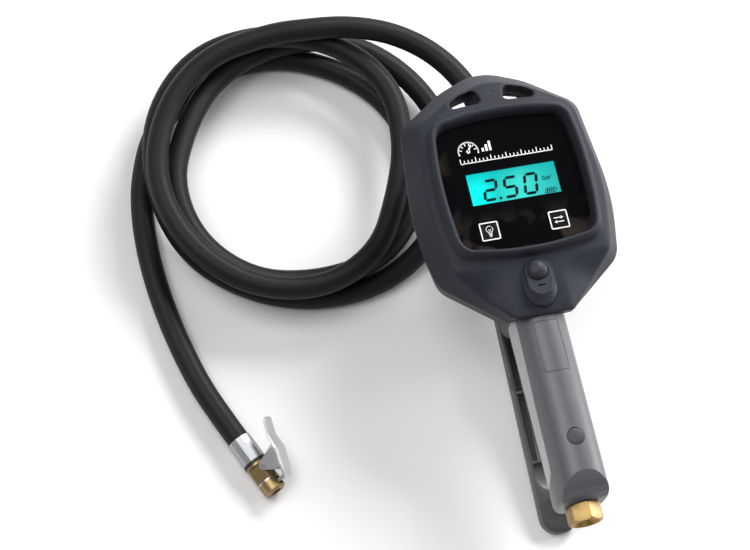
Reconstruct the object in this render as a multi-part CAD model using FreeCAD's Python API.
import FreeCAD, Part
import math
import os

# Hand-held digital tyre inflator with its hose and clip-on valve connector.
# Millimetres. +Y runs along the tool from the inlet nut to the top of the gauge head, +Z out of the
# display, X across. The origin is under the middle of the tool, on the surface it lies on.

V = FreeCAD.Vector

# Driving dimensions: tool
HALF_LENGTH = 147.5          # origin to the head's top, and to the end of the inlet nut
BACK_Z = 60.0                # back of the rubber boot
SIDE_Z = 87.5                # level of the boot's widest outline
FACE_Z = 107.0               # surface of the display fascia
LIP_Z = 115.0                # crest of the boot's lip round the window
LOOP_Y, LOOP_Z = 118.5, 86.5 # the boot's thinner top, with the hanging slots: where it starts, its back
FACE_Y = 64.0                # centre of the display along the tool
AXIS_Z = 71.0                # air passage and inlet nut
HANDLE_Z = 76.0              # level of the handle's widest section
SPLIT_Z = 87.0               # joint between the handle shells and between the case halves
HANDLE_END = -136.0
NECK_Y = 8.0                 # inner end of the handle, inside the boot
PLUG_Y = -100.0
WALL = 2.2

# Driving dimensions: controls
KEY_X, KEY_Y, KEY_SIZE = 22.2, 35.6, 12.2
BLEED_Y, BLEED_R = 4.0, 6.4
PIVOT_Y = 24.0
LEVER_TILT = 6.5             # degrees, lever at rest against the handle's axis
LEVER_REACH, LEVER_DEPTH, LEVER_HALF = 159.0, 13.0, 11.7
TIP_R = 4.0
TILT = math.radians(LEVER_TILT)
PIVOT_Z = (LEVER_REACH - TIP_R) * math.sin(TILT) + (LEVER_DEPTH - TIP_R) * math.cos(TILT) + TIP_R
PLUNGER_Y = 2.0

# Driving dimensions: fittings, hose and connector
NUT_FLATS, NUT_TURN = 19.1, 21.5
INLET_R = 5.72               # wall of the quarter-inch parallel thread, at its crests
HOSE_R = 7.25
OUTLET_X, OUTLET_Z = 4.0, 46.0
CONNECTOR_AT = V(-188.6, -38.2, 8.0)
CONNECTOR_DIR = V(0.399, -0.917, 0).normalize()
CONNECTOR_ROLL = 38.0        # degrees, clip lever raised from lying flat
CLIP_PIVOT = (24.0, 6.2)     # along the connector, and out from its axis
VALVE_R = 4.0                # bore that takes the tyre valve
SEAL_END = 34.8              # along the connector, where the valve meets its seal

# The hose's free stretches, as route points, and the loose turns between them.
LEAD = [(4, 84, 46), (4, 98, 46), (6.6, 114.2, 46), (7.6, 129.2, 46), (5.8, 146.2, 45.8), (0.2, 163.6, 45.5),
        (-9.5, 179.9, 45), (-22.6, 193.7, 44.3), (-41.5, 206.1, 43.4), (-66.5, 214.2, 42.2), (-91, 216.5, 41)]
TAIL = [(-214, 147, 7.3), (-218.5, 124, 7.3), (-220, 99, 7.3), (-219, 74, 7.3), (-216, 50, 7.3),
        (-211.5, 27, 7.3), (-205.5, 3.5, 7.6), (-197.58, -17.57, 8), (-188.6, -38.2, 8)]
COIL_AT = (-118.0, 132.0)
COIL_STEP = 30               # degrees from one coil point to the next
COIL_RADII = [[88, 90, 90, 91.5, 91, 91.5, 89.5, 82, 70.5, 74.5, 86, 88.5],
              [92, 97, 92.5, 88, 86, 83.5, 87, 96.5, 105, 111, 107, 99.5],
              [88, 81.5, 80, 86.5, 89, 87, 81, 82.5, 83.5, 85, 86, 87]]
COIL_TOP = 44.0

OUT = "parts"
os.makedirs(OUT, exist_ok=True)


# Geometry helpers

def spot(u, v, w, axis):
    """Point at (u, v) on the plane across an axis, w along that axis."""
    return {"z": V(u, v, w), "y": V(u, w, v), "x": V(w, u, v)}[axis]


def wire(points, w=0.0, axis="z"):
    """Closed outline of straight runs; a point's third number rounds its corner."""
    corners = []
    for i, p in enumerate(points):
        here = spot(p[0], p[1], w, axis)
        radius = p[2] if len(p) > 2 else 0
        before, after = points[i - 1], points[(i + 1) % len(points)]
        to_a = (spot(before[0], before[1], w, axis) - here).normalize()
        to_b = (spot(after[0], after[1], w, axis) - here).normalize()
        half = to_a.getAngle(to_b) / 2
        if radius == 0 or half > math.pi / 2 - 1e-4:
            corners.append((here, None, here))
            continue
        reach = radius / math.tan(half)
        bisector = (to_a + to_b).normalize()
        middle = here + bisector * (radius / math.sin(half) - radius)
        corners.append((here + to_a * reach, middle, here + to_b * reach))
    edges = []
    for i, (start, middle, end) in enumerate(corners):
        if middle is not None:
            edges.append(Part.Arc(start, middle, end).toShape())
        following = corners[(i + 1) % len(corners)][0]
        if (following - end).Length > 1e-6:
            edges.append(Part.LineSegment(end, following).toShape())
    return Part.Wire(edges)


def mirrored(half):
    """Outline symmetric about u = 0 from the half on its positive side, top to bottom."""
    return half + [(-p[0],) + tuple(p[1:]) for p in reversed(half) if p[0] > 0]


def scaled(points, across, along, centre):
    """Outline scaled about a centre; its corner radii follow the smaller factor."""
    k = min(across, along)
    return [(centre[0] + (p[0] - centre[0]) * across, centre[1] + (p[1] - centre[1]) * along)
            + ((p[2] * k,) if len(p) > 2 else ()) for p in points]


def prism(points, low, high, axis="z"):
    face = Part.Face(wire(points, low, axis))
    return face.extrude(spot(0, 0, high - low, axis))


def loft(lower, z_low, upper, z_high):
    return Part.makeLoft([wire(lower, z_low), wire(upper, z_high)], True, True)


def rod(radius, length, at, axis=V(0, 0, 1)):
    return Part.makeCylinder(radius, length, V(*at), axis)


def pipe(outer, inner, length, at, axis=V(0, 0, 1)):
    return rod(outer, length, at, axis).cut(rod(inner, length, at, axis))


def block(x0, x1, y0, y1, z0, z1):
    return Part.makeBox(x1 - x0, y1 - y0, z1 - z0, V(x0, y0, z0))


def fuse(first, *others):
    return first.multiFuse(list(others)).removeSplitter()


def cut(shape, *tools):
    for tool in tools:
        shape = shape.cut(tool)
    return shape


def hexagon(flats, length, at, axis, turn=0.0):
    """Hexagonal bar; turn is in degrees, and at 0 a flat faces up."""
    r = flats / math.sqrt(3)
    angles = [math.radians(60 * i + turn) for i in range(6)]
    points = [(r * math.cos(angle), r * math.sin(angle)) for angle in angles]
    bar = prism(points, 0, length, axis)
    bar.translate(V(*at))
    return bar


def coil_spring(mean_r, wire_r, pitch, height, at):
    """Compression spring along Z."""
    helix = Part.makeHelix(pitch, height, mean_r)
    section = Part.Wire(Part.makeCircle(wire_r, V(mean_r, 0, 0), V(0, 1, 0)))
    spring = Part.Wire(helix.Edges).makePipeShell([section], True, True)
    spring.translate(V(*at))
    return spring


def save(name, *shapes):
    shape = shapes[0] if len(shapes) == 1 else Part.makeCompound(list(shapes))
    for solid in shape.Solids:
        if not solid.isValid() or solid.Volume <= 0:
            print("CHECK", name, solid.isValid(), round(solid.Volume, 1))
    shape.exportStep(f"{OUT}/{name}.step")
    print(f"{name}: {len(shape.Solids)} solid(s), {shape.Volume / 1000:.2f} cm3")


# Outlines seen from the front; each half runs from the top down its +X side.

CENTRE = (0, FACE_Y)
PEAK_SLOPE = math.radians(22)
PEAK = (0, 139 + 28 * math.tan(PEAK_SLOPE))
PEAK_R = (PEAK[1] - HALF_LENGTH) / (1 / math.cos(PEAK_SLOPE) - 1)
BOOT_SIDE = mirrored([(0, PEAK[1], PEAK_R), (28, 139, 50), (58, 118.5, 14), (65.2, 53, 150),
                      (58.5, 12, 18), (20.5, -18.8, 3)])
BOOT_SHOULDER = mirrored([(0, 135.5, 30), (25, 127.5, 40), (50.5, 112, 14), (57.5, 56, 150),
                          (50.5, 13, 15), (17.5, -15.5, 3)])
LIP_BASE = mirrored([(0, 117, 60), (24, 115.8, 60), (45.5, 110.5, 13), (54, 62, 200),
                     (47.5, 17, 14), (12, 11.2, 80)])
LIP_CREST = mirrored([(0, 114.6, 60), (23, 113.4, 60), (43.8, 108.6, 11), (51.6, 63, 200),
                      (45.6, 19.5, 12), (12, 13.8, 80)])
WINDOW = mirrored([(0, 110.6, 200), (41, 105, 9), (46, 65, 260), (41.5, 24.8, 9), (0, 18.4, 200)])
CASE = mirrored([(0, 115, 80), (41, 110, 10), (53.5, 64, 150), (42, 13.5, 10)])
HANDLE = mirrored([(0, 99.4, 60), (13.2, 98.2, 10), (18.2, HANDLE_Z, 60), (14.2, 53, 9)])

BLEED_POCKET = mirrored([(8.4, BLEED_Y + 9.2, 8.1), (8.4, BLEED_Y - 17, 8.1)])
CASE_POSTS = [(x, y) for x in (-37, 37) for y in (26, 100)]
SENSOR_AT = (-10, 22)
HANDLE_POSTS = [(x, y) for x in (-11.8, 11.8) for y in (-118, -40)]


# Gauge head

def slot(x_sign):
    """Hanging slot through the boot's top, on one side of the middle."""
    points = [(6.5, 120.5, 3), (9.5, 131, 3.5), (21, 128, 3), (28.5, 123, 2.5), (26, 119.5, 2.5)]
    return prism([(x_sign * u, v, r) for u, v, r in points], BACK_Z - 5, LIP_Z)


def boot():
    back = scaled(BOOT_SIDE, 0.90, 0.90, CENTRE)
    shell = fuse(loft(back, BACK_Z, BOOT_SIDE, SIDE_Z), loft(BOOT_SIDE, SIDE_Z, BOOT_SHOULDER, 107.5),
                 loft(LIP_BASE, 107.4, LIP_CREST, LIP_Z))
    inside = prism(CASE, BACK_Z + 2, FACE_Z - 1.6)
    seat = prism(scaled(WINDOW, 1.04, 1.04, CENTRE), FACE_Z - 1.6, FACE_Z)
    window = loft(WINDOW, FACE_Z - 0.1, scaled(WINDOW, 1.1, 1.1, CENTRE), LIP_Z + 0.1)
    neck = prism(HANDLE, -30, NECK_Y + 5.5, "y")
    battery_door = block(-27, 27, 62, 102, BACK_Z - 1, BACK_Z + 3)
    pocket = prism(BLEED_POCKET, 103.0, 120)
    stem_hole = rod(2.4, 10, (0, BLEED_Y, 98))
    tube_hole = rod(3.0, 4, (*SENSOR_AT, BACK_Z - 1))
    screw_holes = [rod(3.1, 4, (x, y, BACK_Z - 1)) for x, y in CASE_POSTS]
    behind_loop = block(-70, 70, LOOP_Y, 150, BACK_Z - 1, LOOP_Z)
    return cut(shell, behind_loop, inside, seat, window, neck, slot(1), slot(-1), pocket, stem_hole, battery_door,
               tube_hole, *screw_holes)


def bleed_pad():
    """Soft pill-shaped pad in the boot's pocket, with the button's hole and its vent slot."""
    pill = mirrored([(8, BLEED_Y + 8.8, 7.7), (8, BLEED_Y - 16.6, 7.7)])
    pad = prism(pill, 103, 110)
    vent = block(-2.2, 2.2, BLEED_Y - 9.4, BLEED_Y - 8.6, 102, 111)
    return cut(pad, rod(BLEED_R + 0.3, 20, (0, BLEED_Y, 100)), vent)


def bleed_button():
    dome = Part.makeSphere(7.6, V(0, BLEED_Y, 107.9)).common(rod(BLEED_R, 12, (0, BLEED_Y, 107)))
    return fuse(dome, rod(BLEED_R, 2.5, (0, BLEED_Y, 104.8)), rod(2.0, 22, (0, BLEED_Y, 83)),
                rod(3.2, 1, (0, BLEED_Y, 95.6)))


def case_front():
    opening = block(-31, 31, FACE_Y - 13, FACE_Y + 13, 102, 106)
    shell = prism(CASE, SPLIT_Z, FACE_Z - 1.6).cut(
        prism(scaled(CASE, 0.957, 0.957, CENTRE), SPLIT_Z - 1, FACE_Z - 4))
    keys = [key_hole(x, 100, 110, 0.25) for x in (KEY_X, -KEY_X)]
    posts = [pipe(3, 1.45, 10, (x, y, 93.2)) for x, y in CASE_POSTS]
    return fuse(cut(shell, opening, *keys), *posts)


def case_rear():
    shell = prism(CASE, BACK_Z + 2, SPLIT_Z).cut(
        prism(scaled(CASE, 0.957, 0.957, CENTRE), BACK_Z + 2 + WALL, SPLIT_Z + 1))
    door = block(-25, 25, 64, 100, BACK_Z, BACK_Z + 5)
    posts = [rod(3, SPLIT_Z + 4.6 - 63, (x, y, 63)) for x, y in CASE_POSTS]
    bores = [rod(1.7, 40, (x, y, BACK_Z)).fuse(rod(2.9, 3.1, (x, y, BACK_Z))) for x, y in CASE_POSTS]
    return cut(fuse(cut(shell, door), *posts), *bores, rod(3.2, 10, (*SENSOR_AT, BACK_Z)))


def key_hole(x, low, high, gap):
    half = KEY_SIZE / 2 + gap
    return prism([(x - half, KEY_Y - half, 1), (x + half, KEY_Y - half, 1), (x + half, KEY_Y + half, 1),
                  (x - half, KEY_Y + half, 1)], low, high)


def touch_key(x):
    """Square cap, flush with the fascia, on a flange that keeps it in."""
    return fuse(key_hole(x, 101.9, FACE_Z, 0), key_hole(x, 101.9, 102.7, 0.7))


def fascia():
    window = block(-28.5, 28.5, FACE_Y - 10.5, FACE_Y + 10.5, 100, 110)
    keys = [key_hole(x, 100, 110, 0.2) for x in (KEY_X, -KEY_X)]
    return cut(prism(scaled(WINDOW, 1.04, 1.04, CENTRE), FACE_Z - 1.6, FACE_Z), window, *keys)


def circuit_board():
    board = prism(scaled(CASE, 0.94, 0.94, CENTRE), 91.6, 93.2)
    return cut(board, *[rod(1.7, 5, (x, y, 90)) for x, y in CASE_POSTS])


def battery_holder():
    tray = block(-26, 26, 65, 99, 66, 80)
    return cut(tray, block(-24, 24, 67, 97, 64, 77))


def socket_screw(x, y, z, head_r, length):
    """Screw pointing up, its head from z to z + 2 with a hexagon socket underneath."""
    head = rod(head_r, 2, (x, y, z)).cut(hexagon(2.5, 1.2, (x, y, z), "z"))
    return fuse(head, rod(1.45, length, (x, y, z + 2)))


def head_parts():
    save("boot", boot())
    save("bleed_pad", bleed_pad())
    save("bleed_button", bleed_button())
    save("bleed_spring", coil_spring(2.8, 0.35, 1.6, 4.7, (0, BLEED_Y, 90.45)))
    save("bleed_cartridge", cut(rod(4.5, 14, (0, BLEED_Y, 76)), rod(2.06, 10, (0, BLEED_Y, 81)),
                                rod(1.2, 6, (0, BLEED_Y, 76))))
    save("case_front", case_front())
    save("case_rear", case_rear())
    save("case_screws", *[socket_screw(x, y, 61.0, 2.8, 35) for x, y in CASE_POSTS])
    save("fascia", fascia())
    save("display_window", block(-28.4, 28.4, FACE_Y - 10.4, FACE_Y + 10.4, FACE_Z - 1.6, FACE_Z - 0.2))
    save("display_panel", block(-30.5, 30.5, FACE_Y - 12.5, FACE_Y + 12.5, 102.6, FACE_Z - 1.6))
    save("display_backlight", block(-31, 31, FACE_Y - 13, FACE_Y + 13, 99.6, 102.6))
    save("display_frame", cut(block(-32, 32, FACE_Y - 14, FACE_Y + 14, 93.2, 99.6),
                              block(-30, 30, FACE_Y - 12, FACE_Y + 12, 93, 100)))
    save("light_key", touch_key(-KEY_X))
    save("unit_key", touch_key(KEY_X))
    save("key_switches", *[fuse(block(x - 3, x + 3, KEY_Y - 3, KEY_Y + 3, 93.2, 99.5),
                                rod(1.7, 1.8, (x, KEY_Y, 99.5))) for x in (-KEY_X, KEY_X)])
    save("circuit_board", circuit_board())
    save("pressure_sensor", fuse(block(-16, -4, 16, 28, 85.6, 91.6), rod(2, 5, (*SENSOR_AT, 81))))
    save("sensor_tube", pipe(3, 2.0, 24.4, (*SENSOR_AT, 58)))
    save("battery_holder", battery_holder())
    save("batteries", *[rod(5.2, 44.5, (-22.25, y, 71.5), V(1, 0, 0)) for y in (73, 84.5)])
    save("battery_cover", cut(fuse(block(-24.6, 24.6, 64.4, 99.6, 62, 64.2),
                                   block(-26.6, 26.6, 62.4, 101.6, BACK_Z, 62)),
                              *[block(-10, 10, y, y + 1, BACK_Z - 1, BACK_Z + 0.8) for y in (92, 94.5, 97)]))


# Handle

def handle_body(inset):
    k_x, k_z = (18.2 - inset) / 18.2, (23.2 - inset) / 23.2
    section = scaled(HANDLE, k_x, k_z, (0, HANDLE_Z))
    end = HANDLE_END + inset
    top = 99.6 - inset
    side = [(NECK_Y + 1, 45), (NECK_Y + 1, top), (end, top, 15 - inset / 2), (end, 52.6 + inset, 2),
            (end + 6, 45)]
    return prism(section, end, NECK_Y, "y").common(prism(side, -25, 25, "x"))


def handle_shell(front):
    shell = handle_body(0).cut(handle_body(WALL))
    half = block(-30, 30, -150, 20, SPLIT_Z, 120) if front else block(-30, 30, -150, 20, 40, SPLIT_Z)
    shell = shell.common(half)
    shell = cut(shell, rod(7.0, 8, (0, HANDLE_END - 2, AXIS_Z), V(0, 1, 0)))
    posts = [rod(2.4, 60, (x, y, 50)).common(handle_body(0.4)).common(half) for x, y in HANDLE_POSTS]
    bores = [rod(1.45, 43, (x, y, 50)).fuse(rod(2.45, 8, (x, y, 50))) for x, y in HANDLE_POSTS]
    shell = cut(fuse(shell, *posts), *bores)
    if front:
        return cut(shell, rod(2.3, 20, (0, BLEED_Y, 90)), rod(5.0, 3, (0, PLUG_Y, 98.2)),
                   rod(2.0, 8, (0, PLUG_Y, 94)))
    return cut(shell, block(-12.6, 12.6, -14.6, 12, 50, 84), block(-18, 18, -14.6, 12, 50, BACK_Z + 0.6))


def handle_parts():
    save("handle_front", handle_shell(True))
    save("handle_rear", handle_shell(False))
    save("handle_plug", fuse(rod(4.9, 1.1, (0, PLUG_Y, 98.2)), rod(1.9, 4.2, (0, PLUG_Y, 94))))
    save("handle_screws", *[socket_screw(x, y, 56.0, 2.4, 34) for x, y in HANDLE_POSTS])


# Air path

def valve_body():
    along = V(0, 1, 0)
    manifold = prism([(-14, 56, 3), (14, 56, 3), (14, -14, 8), (-14, -14, 8)], 37, BACK_Z)
    lug = prism([(12, 38), (12, 27, 4), (20, 23.5, 5), (30, 23.5, 5), (36, 29, 4), (36, 38)], -6, 6, "x")
    body = fuse(rod(9, 114, (0, -124, AXIS_Z), along), block(-12, 12, -14, 8, 57, 82), manifold, lug)
    bores = [rod(6.5, 20, (0, -124, AXIS_Z), along), rod(4, 106, (0, -104, AXIS_Z), along),
             rod(5.6, 20, (0, PLUNGER_Y, 46)), rod(3.0, 12, (0, PLUNGER_Y, 60)),
             rod(6.5, 10, (0, PLUNGER_Y, 36)),
             rod(3, 30, (OUTLET_X, 2, OUTLET_Z + 4), along), rod(4, 26, (OUTLET_X, 30, OUTLET_Z), along),
             rod(6.5, 14, (OUTLET_X, 42, OUTLET_Z), along),
             rod(4.5, 7, (0, BLEED_Y, 76)), rod(1.5, 8, (0, BLEED_Y, AXIS_Z)),
             rod(1.2, 18, (*SENSOR_AT, 44)), rod(3.0, 3, (*SENSOR_AT, 58)),
             rod(2.5, 20, (-10, PIVOT_Y, PIVOT_Z), V(1, 0, 0))]
    return cut(body, *bores)


def plunger():
    """Trigger valve stem: foot on the lever, poppet inside the body."""
    foot = Part.makeSphere(3.2, V(0, PLUNGER_Y, 28.2)).common(block(-5, 5, -5, 9, 25.0, 28.2))
    return fuse(foot, rod(2.5, 22, (0, PLUNGER_Y, 28)), rod(4.6, 3, (0, PLUNGER_Y, 49)))


def inlet_nut():
    length = 11.1
    start = -HALF_LENGTH
    bar = hexagon(NUT_FLATS, length, (0, start, AXIS_Z), "y", NUT_TURN)
    chamfer = Part.makeCone(9.9, 9.9 + length, length, V(0, start, AXIS_Z), V(0, 1, 0))
    back = Part.makeCone(10.2 + length, 10.2, length, V(0, start, AXIS_Z), V(0, 1, 0))
    return cut(bar.common(chamfer).common(back), rod(INLET_R, 7.6, (0, start, AXIS_Z), V(0, 1, 0)),
               rod(6.3, 1.4, (0, start + 7.6, AXIS_Z), V(0, 1, 0)),
               rod(4.6, 4, (0, start + 8.9, AXIS_Z), V(0, 1, 0)))


def air_parts():
    along = V(0, 1, 0)
    save("valve_body", valve_body())
    save("valve_plunger", plunger())
    save("plunger_seal", pipe(5.5, 2.9, 2.9, (0, PLUNGER_Y, 46)))
    save("valve_spring", coil_spring(3.2, 0.45, 2.6, 13.0, (0, PLUNGER_Y, 52.5)))
    gland = fuse(rod(6.5, 9, (0, PLUNGER_Y, 37)), hexagon(14, 2.8, (0, PLUNGER_Y, 34.2), "z"))
    save("valve_gland", cut(gland, rod(2.56, 20, (0, PLUNGER_Y, 30))))
    adaptor = fuse(rod(6.5, 18, (0, -124, AXIS_Z), along), rod(7.6, 3, (0, -127, AXIS_Z), along),
                   rod(4.5, 12.5, (0, -139.4, AXIS_Z), along), rod(5.5, 0.8, (0, -139.6, AXIS_Z), along))
    save("inlet_adaptor", cut(adaptor, rod(2.4, 30, (0, -139.6, AXIS_Z), along),
                              rod(5, 12, (0, -118, AXIS_Z), along)))
    save("inlet_filter", pipe(4.9, 4.0, 11, (0, -117.6, AXIS_Z), along))
    save("inlet_nut", inlet_nut())
    tail = fuse(rod(6.5, 13.8, (OUTLET_X, 42.2, OUTLET_Z), along),
                hexagon(17, 6, (OUTLET_X, 56, OUTLET_Z), "y"),
                *[Part.makeCone(4.6, 4.0, 5, V(OUTLET_X, y, OUTLET_Z), along) for y in (62, 67, 72, 77)])
    save("outlet_fitting", cut(tail, rod(3, 45, (OUTLET_X, 40, OUTLET_Z), along)))
    ferrule = fuse(rod(9.2, 22, (OUTLET_X, 62, OUTLET_Z), along))
    grooves = [pipe(11, 8.6, 2.2, (OUTLET_X, y, OUTLET_Z), along) for y in (65, 70.5, 76)]
    save("head_ferrule", cut(ferrule, *grooves, rod(4.6, 22, (OUTLET_X, 62, OUTLET_Z), along)))


# Trigger lever, built level from its pivot and then tilted to rest

def lever():
    half, inner = LEVER_HALF, LEVER_HALF - 1.9
    reach, top, floor = LEVER_REACH, -1.5, -LEVER_DEPTH + 2.5
    plan = [(half, 9, 3), (half, -reach, half - 0.1), (-half, -reach, half - 0.1), (-half, 9, 3)]
    room = [(inner, 12), (inner, -reach + 1.9, inner - 0.1), (-inner, -reach + 1.9, inner - 0.1), (-inner, 12)]
    side = [(-reach, -LEVER_DEPTH, TIP_R), (-reach, top - 2.5, 2), (-reach + 22, top, 20), (-24, top, 8),
            (-13, 4.0, 6), (7, 4.0, 6), (7, -6, 6), (-4, -LEVER_DEPTH, 8)]
    body = prism(plan, -LEVER_DEPTH, 8).common(prism(side, -20, 20, "x")).cut(prism(room, floor, 12))
    ribs = [block(-inner - 0.5, inner + 0.5, -u - 0.8, -u + 0.8, floor - 1, -5.5)
            for u in (42, 61, 84, 108, 132)]
    rails = [block(x - 0.6, x + 0.6, -reach + 20, -34, floor - 1, -8.4) for x in (-4.5, 4.5)]
    pad = block(-4, 4, -27, -17, floor - 1, -3.2)
    bosses = [rod(4.0, inner + 0.5 - 6.4, (x, 0, 0), V(1, 0, 0)) for x in (6.4, -inner - 0.5)]
    body = fuse(body, pad, *ribs, *rails, *bosses)
    body = body.cut(rod(2.56, 30, (-15, 0, 0), V(1, 0, 0)))
    body.translate(V(0, PIVOT_Y, PIVOT_Z))
    body.rotate(V(0, PIVOT_Y, PIVOT_Z), V(1, 0, 0), LEVER_TILT)
    return body


def trigger_parts():
    save("trigger_lever", lever())
    save("lever_pin", rod(2.5, 2 * LEVER_HALF, (-LEVER_HALF, PIVOT_Y, PIVOT_Z), V(1, 0, 0)))


# Hose

def route(points, name):
    """Straight runs joined by arcs as large as the runs allow; returns the path and its length."""
    points = [V(*p) for p in points]
    edges, start, radii = [], points[0], []
    for before, here, after in zip(points, points[1:], points[2:]):
        to_a, to_b = before - here, after - here
        reach = 0.45 * min(to_a.Length, to_b.Length)
        half = to_a.getAngle(to_b) / 2
        radius = reach * math.tan(half)
        to_a, to_b = to_a.normalize(), to_b.normalize()
        bisector = (to_a + to_b).normalize()
        middle = here + bisector * (radius / math.sin(half) - radius)
        edges.append(Part.LineSegment(start, here + to_a * reach).toShape())
        edges.append(Part.Arc(here + to_a * reach, middle, here + to_b * reach).toShape())
        start = here + to_b * reach
        radii.append(round(radius))
    edges.append(Part.LineSegment(start, points[-1]).toShape())
    path = Part.Wire(edges)
    print(name, "length", round(path.Length, 1), "radii", radii)
    return path


def hose(points, name):
    path = route(points, name)
    direction = V(*points[1]) - V(*points[0])
    section = Part.Wire(Part.makeCircle(HOSE_R, V(*points[0]), direction))
    solid = path.makePipeShell([section], True, False)
    expected = math.pi * HOSE_R ** 2 * path.Length
    print(name, "volume over section times length", round(solid.Volume / expected, 4))
    return solid


def hose_coil():
    """Outer shape of the loose turns: a ring as wide as they fan out at each angle."""
    def rim(radii):
        points = []
        for i, radius in enumerate(radii):
            angle = math.radians(COIL_STEP * i)
            points.append(V(COIL_AT[0] - radius * math.sin(angle), COIL_AT[1] + radius * math.cos(angle), 0))
        curve = Part.BSplineCurve()
        curve.interpolate(points, PeriodicFlag=True)
        return Part.Face(Part.Wire(curve.toShape()))
    on_curve = math.cos(math.radians(COIL_STEP / 2))
    outer = rim([max(turn) * on_curve + HOSE_R for turn in zip(*COIL_RADII)])
    inner = rim([min(turn) * on_curve - HOSE_R for turn in zip(*COIL_RADII)])
    return outer.cut(inner).extrude(V(0, 0, COIL_TOP))


def hose_parts():
    save("hose_lead", hose(LEAD, "lead"))
    save("hose_coil", hose_coil())
    save("hose_tail", hose(TAIL, "tail"))


# Clip-on connector, built along local +X with its lever towards local +Z

def on_hose(shape):
    out = V(CONNECTOR_DIR.y, -CONNECTOR_DIR.x, 0) * -1
    roll = math.radians(CONNECTOR_ROLL)
    local_z = out * math.cos(roll) + V(0, 0, 1) * math.sin(roll)
    local_y = local_z.cross(CONNECTOR_DIR)
    turn = FreeCAD.Rotation(CONNECTOR_DIR, local_y, local_z, "XYZ")
    placed = shape.copy()
    placed.Placement = FreeCAD.Placement(CONNECTOR_AT, turn).multiply(placed.Placement)
    return placed


def connector_ferrule():
    sides = 12
    r = 8.0 / math.cos(math.pi / sides) - 0.28
    points = [(r * math.cos(2 * math.pi * (i + 0.5) / sides), r * math.sin(2 * math.pi * (i + 0.5) / sides))
              for i in range(sides)]
    return cut(prism(points, 0, 17, "x"), rod(4.0, 17, (0, 0, 0), V(1, 0, 0)))


def connector_body():
    along = V(1, 0, 0)
    body = fuse(rod(7.4, 21.6, (19, 0, 0), along), rod(4.0, 19, (0, 0, 0), along))
    rim = Part.makeCone(7.4, 6.2, 1.2, V(39.4, 0, 0), along)
    body = body.common(fuse(rod(7.4, 39.4, (0, 0, 0), along), rim))
    flats = [block(20.6, 31.5, 5.9, 9, -8, 9), block(20.6, 31.5, -9, -5.9, -8, 9)]
    notch = block(20.4, 27.6, -2.4, 2.4, 3.4, 9)
    hook_slot = block(33.4, 39.2, -2.5, 2.5, 3, 9)
    groove = pipe(9, 6.9, 0.9, (31.9, 0, 0), along)
    return cut(body, *flats, notch, hook_slot, groove, rod(VALVE_R, 7, (SEAL_END, 0, 0), along),
               rod(4.6, 2.2, (SEAL_END - 2.2, 0, 0), along),
               rod(3.0, 10, (27, 0, 0), along), rod(1.8, 30, (0, 0, 0), along),
               rod(1.25, 16, (CLIP_PIVOT[0], -8, CLIP_PIVOT[1]), V(0, 1, 0)))


def clip_lever():
    """Folded sheet: a cranked thumb plate, two cheeks over the pin and a hook into the bore."""
    upper = [(-3.0, 24.6), (8.0, 20.9), (17.5, 21.6), (36.6, 14.2), (38.2, 12.0)]
    lower = [(36.6, 11.6), (35.6, 13.2), (17.3, 20.2), (7.8, 19.6), (-3.4, 23.3)]
    plan = [(-3.6, -4.4, 2.5), (-3.6, 4.4, 2.5), (9, 4.8, 3), (14, 7.0, 3), (30, 7.0, 5), (38.4, 4.0, 1),
            (38.4, -4.0, 1), (30, -7.0, 5), (14, -7.0, 3), (9, -4.8, 3)]
    plate = prism(upper + lower, -8, 8, "y").common(prism(plan, 5, 30))
    cheek = [(14.5, 21.0, 1), (20.5, 5.5, 3.5), (25.5, 2.9, 3.5), (33.5, 14.6, 2), (31, 16.4)]
    cheeks = [prism(cheek, y, y + 0.8, "y") for y in (-6.95, 6.15)]
    hook = prism([(35.6, 13.6), (35.2, 5.0), (36.2, 4.4), (37.4, 5.2), (37.4, 13.4)], -2.1, 2.1, "y")
    body = fuse(plate, *cheeks, hook)
    return body.cut(rod(1.32, 20, (CLIP_PIVOT[0], -10, CLIP_PIVOT[1]), V(0, 1, 0)))


def connector_parts():
    along = V(1, 0, 0)
    save("connector_ferrule", on_hose(connector_ferrule()))
    save("connector_ring", on_hose(pipe(8.0, 4.0, 2.0, (17, 0, 0), along)))
    save("connector_body", on_hose(connector_body()))
    save("connector_seal", on_hose(pipe(4.6, 1.5, 2.2, (SEAL_END - 2.2, 0, 0), along)))
    save("valve_depressor", on_hose(fuse(rod(0.9, 3.6, (31.0, 0, 0), along),
                                         block(29.5, 31.2, -2.9, 2.9, -0.8, 0.8),
                                         block(29.5, 31.2, -0.8, 0.8, -2.9, 2.9))))
    save("retaining_clip", on_hose(pipe(7.6, 6.95, 0.7, (32.0, 0, 0), along).cut(block(31, 34, -4, 4, 3, 9))))
    save("clip_lever", on_hose(clip_lever()))
    save("clip_pin", on_hose(rod(1.25, 14.6, (CLIP_PIVOT[0], -7.3, CLIP_PIVOT[1]), V(0, 1, 0))))
    ring = pipe(2.4, 1.6, 4.0, (CLIP_PIVOT[0], -2.0, CLIP_PIVOT[1]), V(0, 1, 0))
    leg = rod(0.4, 12.6, (CLIP_PIVOT[0] - 1.9, 1.2, CLIP_PIVOT[1] + 0.5), V(-0.18, 0, 1))
    save("clip_spring", on_hose(fuse(ring, leg)))


head_parts()
handle_parts()
air_parts()
trigger_parts()
hose_parts()
connector_parts()
